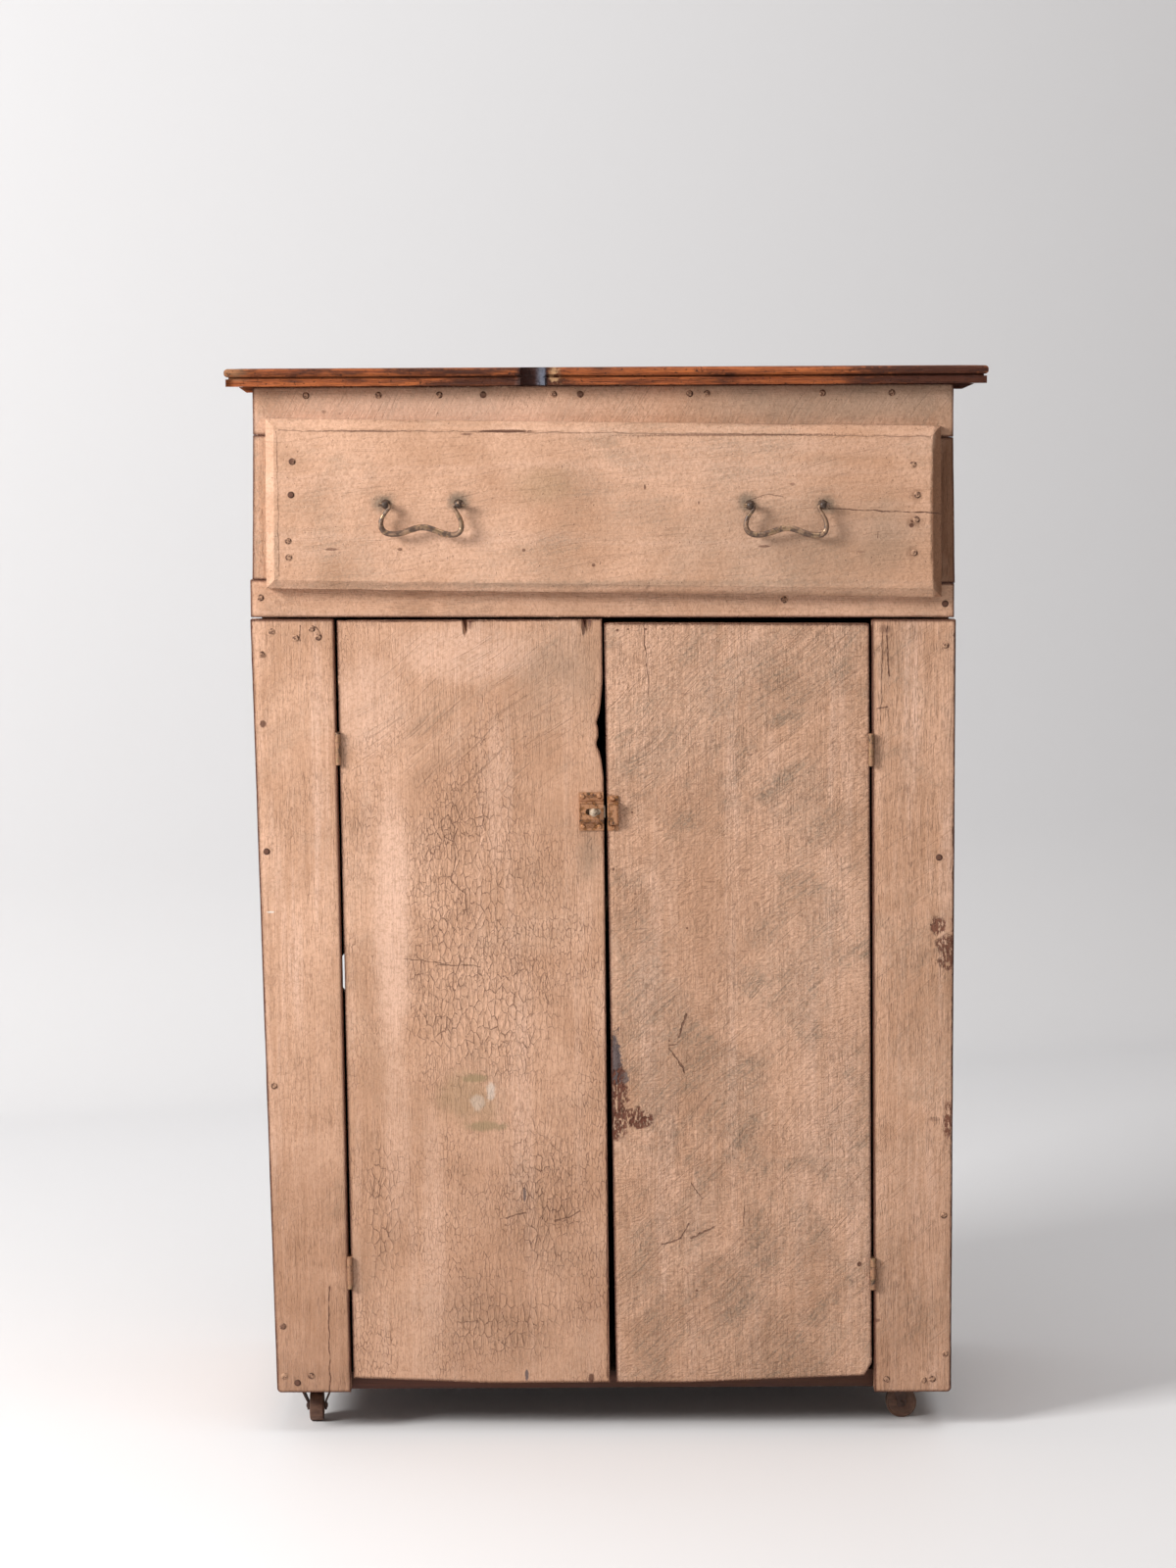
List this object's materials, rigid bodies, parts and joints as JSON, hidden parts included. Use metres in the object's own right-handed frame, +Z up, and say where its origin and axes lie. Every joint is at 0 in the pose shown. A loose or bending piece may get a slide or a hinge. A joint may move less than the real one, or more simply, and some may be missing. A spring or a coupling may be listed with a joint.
{
  "type": "cupboard",
  "caption": "Tall painted pine cupboard on casters: a bevelled drawer with bail pulls over a pair of board doors with butt hinges and a sliding catch, under a moulded stained top.",
  "frame": {"origin": "on the floor, under the middle of the whole cupboard's box", "axes": "+Z up, +Y to the back, -Y the front with the drawer and doors, +X to the right seen from the front"},
  "size_m": [0.7982, 0.4354, 1.1455],
  "materials": {
    "paint": "aged, crackled tan-pink milk paint, matt, with a reddish brown undercoat at the worn edges",
    "stained_top": "orange-brown stained pine, satin, worn and dark in places",
    "bare_wood": "old bare pine, matt",
    "aged_brass": "tarnished, partly covered with paint",
    "painted_iron": "iron, painted over with the boards",
    "rusty_iron": "dark and rusted",
    "wheel_wood": "turned, dirty brown"
  },
  "bodies": {
    "case": {"top_board": "stained_top", "top_moulding_left": "stained_top", "top_moulding_right": "stained_top", "top_rail": "paint", "waist_rail": "paint", "drawer_post_left": "paint", "drawer_post_right": "paint", "stile_left": "paint", "stile_right": "paint", "side_panel_left": "paint", "side_panel_right": "paint", "back_strip": "bare_wood", "back_boards": "bare_wood", "bottom_board": "bare_wood", "shelf": "bare_wood", "top_batten": "bare_wood", "shelf_cleats": "bare_wood", "drawer_runners": "bare_wood", "drawer_guides": "bare_wood", "drawer_kickers": "bare_wood", "caster_blocks": "bare_wood", "caster_sockets": "rusty_iron", "frame_hinge_leaves_left": "painted_iron", "frame_hinge_leaves_right": "painted_iron", "hinge_pins": "painted_iron", "frame_nails": "rusty_iron"},
    "drawer": {"drawer_front": "paint", "drawer_side_left": "bare_wood", "drawer_side_right": "bare_wood", "drawer_back": "bare_wood", "drawer_bottom": "bare_wood", "pull_posts_left": "aged_brass", "pull_posts_right": "aged_brass", "pull_nuts": "rusty_iron", "drawer_nails": "rusty_iron"},
    "bail_left": {"bail_left": "aged_brass"},
    "bail_right": {"bail_right": "aged_brass"},
    "door_left": {"door_left_board": "paint", "door_left_battens": "bare_wood", "door_hinge_leaves_left": "painted_iron", "catch_case": "aged_brass", "catch_screws": "rusty_iron"},
    "door_right": {"door_right_board": "paint", "door_right_battens": "bare_wood", "door_hinge_leaves_right": "painted_iron", "catch_keeper": "aged_brass", "keeper_screws": "rusty_iron"},
    "catch_bolt": {"catch_bolt": "aged_brass"},
    "caster_front_left": {"caster_fork_front_left": "rusty_iron", "caster_axle_front_left": "rusty_iron"},
    "wheel_front_left": {"caster_wheel_front_left": "wheel_wood"},
    "caster_front_right": {"caster_fork_front_right": "rusty_iron", "caster_axle_front_right": "rusty_iron"},
    "wheel_front_right": {"caster_wheel_front_right": "wheel_wood"},
    "caster_back_left": {"caster_fork_back_left": "rusty_iron", "caster_axle_back_left": "rusty_iron"},
    "wheel_back_left": {"caster_wheel_back_left": "wheel_wood"},
    "caster_back_right": {"caster_fork_back_right": "rusty_iron", "caster_axle_back_right": "rusty_iron"},
    "wheel_back_right": {"caster_wheel_back_right": "wheel_wood"}
  },
  "joints": [
    {"name": "drawer_slide", "type": "slide", "parent": "case", "child": "drawer", "axis": [0, -1, 0], "range_m": [0, 0.27]},
    {"name": "bail_left_swing", "type": "hinge", "parent": "drawer", "child": "bail_left", "pos_m": [-0.1936, -0.21375, 1.0037], "axis": [-1, 0, 0], "range_deg": [-12, 95]},
    {"name": "bail_right_swing", "type": "hinge", "parent": "drawer", "child": "bail_right", "pos_m": [0.1878, -0.21375, 1.001], "axis": [-1, 0, 0], "range_deg": [-12, 95]},
    {"name": "door_left_hinge", "type": "hinge", "parent": "case", "child": "door_left", "pos_m": [-0.27895, -0.18525, 0.055], "axis": [0.01, 0, -1], "range_deg": [0, 150]},
    {"name": "door_right_hinge", "type": "hinge", "parent": "case", "child": "door_right", "pos_m": [0.2835, -0.18525, 0.055], "axis": [-0.0065, 0, 1], "range_deg": [0, 150]},
    {"name": "catch_bolt_slide", "type": "slide", "parent": "door_left", "child": "catch_bolt", "axis": [1, 0, 0.01], "range_m": [-0.005, 0.0042]},
    {"name": "caster_swivel_front_left", "type": "hinge", "parent": "case", "child": "caster_front_left", "pos_m": [-0.3214, -0.13025, 0], "axis": [0, 0, 1], "continuous": true},
    {"name": "wheel_spin_front_left", "type": "hinge", "parent": "caster_front_left", "child": "wheel_front_left", "pos_m": [-0.3214, -0.12725, 0.0165], "axis": [-1, 0, 0], "continuous": true},
    {"name": "caster_swivel_front_right", "type": "hinge", "parent": "case", "child": "caster_front_right", "pos_m": [0.3153, -0.12225, 0], "axis": [0, 0, 1], "continuous": true},
    {"name": "wheel_spin_front_right", "type": "hinge", "parent": "caster_front_right", "child": "wheel_front_right", "pos_m": [0.3183, -0.12225, 0.0165], "axis": [0, 1, 0], "continuous": true},
    {"name": "caster_swivel_back_left", "type": "hinge", "parent": "case", "child": "caster_back_left", "pos_m": [-0.3214, 0.16575, 0], "axis": [0, 0, 1], "continuous": true},
    {"name": "wheel_spin_back_left", "type": "hinge", "parent": "caster_back_left", "child": "wheel_back_left", "pos_m": [-0.3199, 0.16835, 0.0165], "axis": [-0.866, 0.5, 0], "continuous": true},
    {"name": "caster_swivel_back_right", "type": "hinge", "parent": "case", "child": "caster_back_right", "pos_m": [0.3153, 0.16575, 0], "axis": [0, 0, 1], "continuous": true},
    {"name": "wheel_spin_back_right", "type": "hinge", "parent": "caster_back_right", "child": "wheel_back_right", "pos_m": [0.31403, 0.16847, 0.0165], "axis": [-0.9063, -0.4226, 0], "continuous": true}
  ]
}
